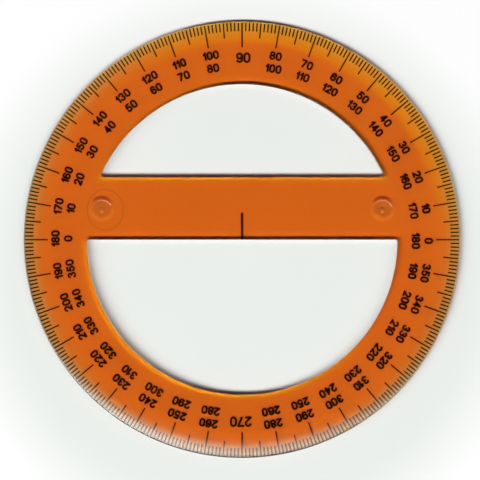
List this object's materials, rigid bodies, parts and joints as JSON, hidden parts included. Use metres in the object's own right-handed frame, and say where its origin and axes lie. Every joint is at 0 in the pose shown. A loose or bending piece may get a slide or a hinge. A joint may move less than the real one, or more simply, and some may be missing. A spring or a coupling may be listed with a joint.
{
  "type": "full circle protractor",
  "caption": "Flat transparent orange full circle protractor: a bevelled ring with a straight crossbar, two open windows, and a dark degree scale with a centre index line.",
  "frame": {"origin": "the reading centre, where the index line meets the crossbar's base line, on the underside; it is also the centre of the disc", "axes": "+X to the 0 degree mark, +Y to the 90 degree mark, +Z out of the face that is read"},
  "size_m": [0.1, 0.1, 0.002],
  "materials": {
    "clear_orange_plastic": "clear, glossy, tinted orange through its whole thickness",
    "scale_ink": "dark brown-black ink, dull"
  },
  "bodies": {
    "root": {"body": "clear_orange_plastic", "one_degree_marks": "scale_ink", "five_degree_marks": "scale_ink", "ten_degree_marks": "scale_ink", "right_angle_marks": "scale_ink", "centre_index_line": "scale_ink"}
  },
  "joints": []
}
